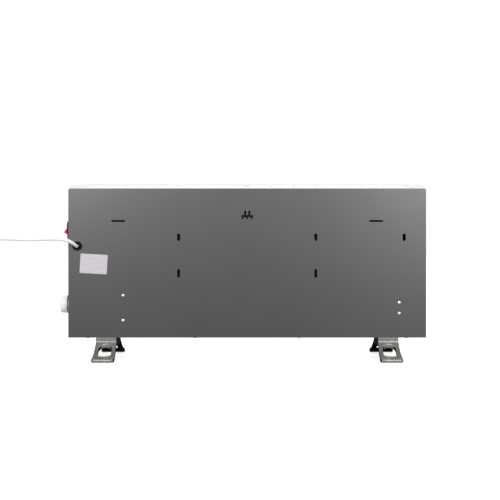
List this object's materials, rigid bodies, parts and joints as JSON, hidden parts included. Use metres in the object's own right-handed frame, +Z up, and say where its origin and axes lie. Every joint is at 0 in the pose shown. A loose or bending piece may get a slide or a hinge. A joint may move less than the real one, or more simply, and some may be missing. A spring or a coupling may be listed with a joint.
{
  "type": "wall panel convector heater",
  "caption": "Slim panel convector heater on two arched feet, with slotted rear panel, side thermostat knob, rocker switch and mains lead.",
  "frame": {"origin": "on the floor under the middle of the heater's box, measured without its lead", "axes": "+Z up, the front faces -Y, the rear panel faces +Y, the controls are at the +X end"},
  "size_m": [1.1271, 0.21, 0.4071],
  "materials": {
    "grey_steel": "satin grey sheet",
    "white_steel": "white powder coat",
    "white_plastic": "satin white moulding",
    "grille_white": "white enamel",
    "cream_plastic": "cream, slightly glossy",
    "black_plastic": "fine grained black",
    "red_plastic": "glossy translucent red",
    "brown_phenolic": "moulded phenolic",
    "black_rubber": "soft black",
    "white_pvc": "white PVC",
    "label_film": "blank film label",
    "zinc": "bright zinc plate",
    "nickel": "nickel plate",
    "brass": "plain brass",
    "silver_paint": "silver paint on moulded plastic",
    "galvanised": "galvanised sheet",
    "aluminium": "extruded",
    "element_steel": "oxidised stainless tube",
    "ceramic": "glazed ceramic",
    "wire_brown": "insulation",
    "wire_blue": "insulation",
    "wire_black": "insulation",
    "wire_green": "insulation"
  },
  "bodies": {
    "heater": {"rear_panel": "grey_steel", "front_casing": "white_steel", "end_cap_controls": "white_plastic", "end_cap_plain": "white_plastic", "outlet_grille_right": "grille_white", "outlet_grille_left": "grille_white", "dial_ring": "black_plastic", "thermostat_body": "brown_phenolic", "thermostat_screws": "zinc", "switch_housing": "black_plastic", "switch_terminals": "brass", "cord_bushing": "black_rubber", "power_cord": "white_pvc", "power_cord_coil": "white_pvc", "plug_body": "white_pvc", "plug_pins": "nickel", "lead_inside": "white_pvc", "rating_label": "label_film", "rear_screws": "zinc", "foot_left": "silver_paint", "foot_right": "silver_paint", "foot_screws": "zinc", "foot_plates": "galvanised", "casing_screws": "zinc", "element_fins": "aluminium", "element_tube": "element_steel", "element_bushes": "ceramic", "element_terminals": "brass", "element_bracket_right": "galvanised", "element_bracket_left": "galvanised", "heat_shield": "galvanised", "shield_rivets": "aluminium", "thermal_cutout": "brown_phenolic", "terminal_block": "ceramic", "terminal_screws": "brass", "wire_live": "wire_brown", "wire_neutral": "wire_blue", "wires_switched": "wire_black", "wire_earth": "wire_green", "earth_screw": "brass"},
    "knob": {"thermostat_knob": "cream_plastic", "thermostat_shaft": "zinc"},
    "rocker_rear_body": {"rocker_rear": "red_plastic"},
    "rocker_front_body": {"rocker_front": "red_plastic"}
  },
  "joints": [
    {"name": "knob_turn", "type": "hinge", "parent": "heater", "child": "knob", "pos_m": [0.40847, -0.006, 0.124], "axis": [-1, 0, 0], "range_deg": [0, 270]},
    {"name": "rocker_rear_tilt", "type": "hinge", "parent": "heater", "child": "rocker_rear_body", "pos_m": [0.40197, 0.0002, 0.2985], "axis": [0, 1, 0], "range_deg": [0, 36]},
    {"name": "rocker_front_tilt", "type": "hinge", "parent": "heater", "child": "rocker_front_body", "pos_m": [0.40197, -0.0122, 0.2985], "axis": [0, 1, 0], "range_deg": [0, 36]}
  ]
}
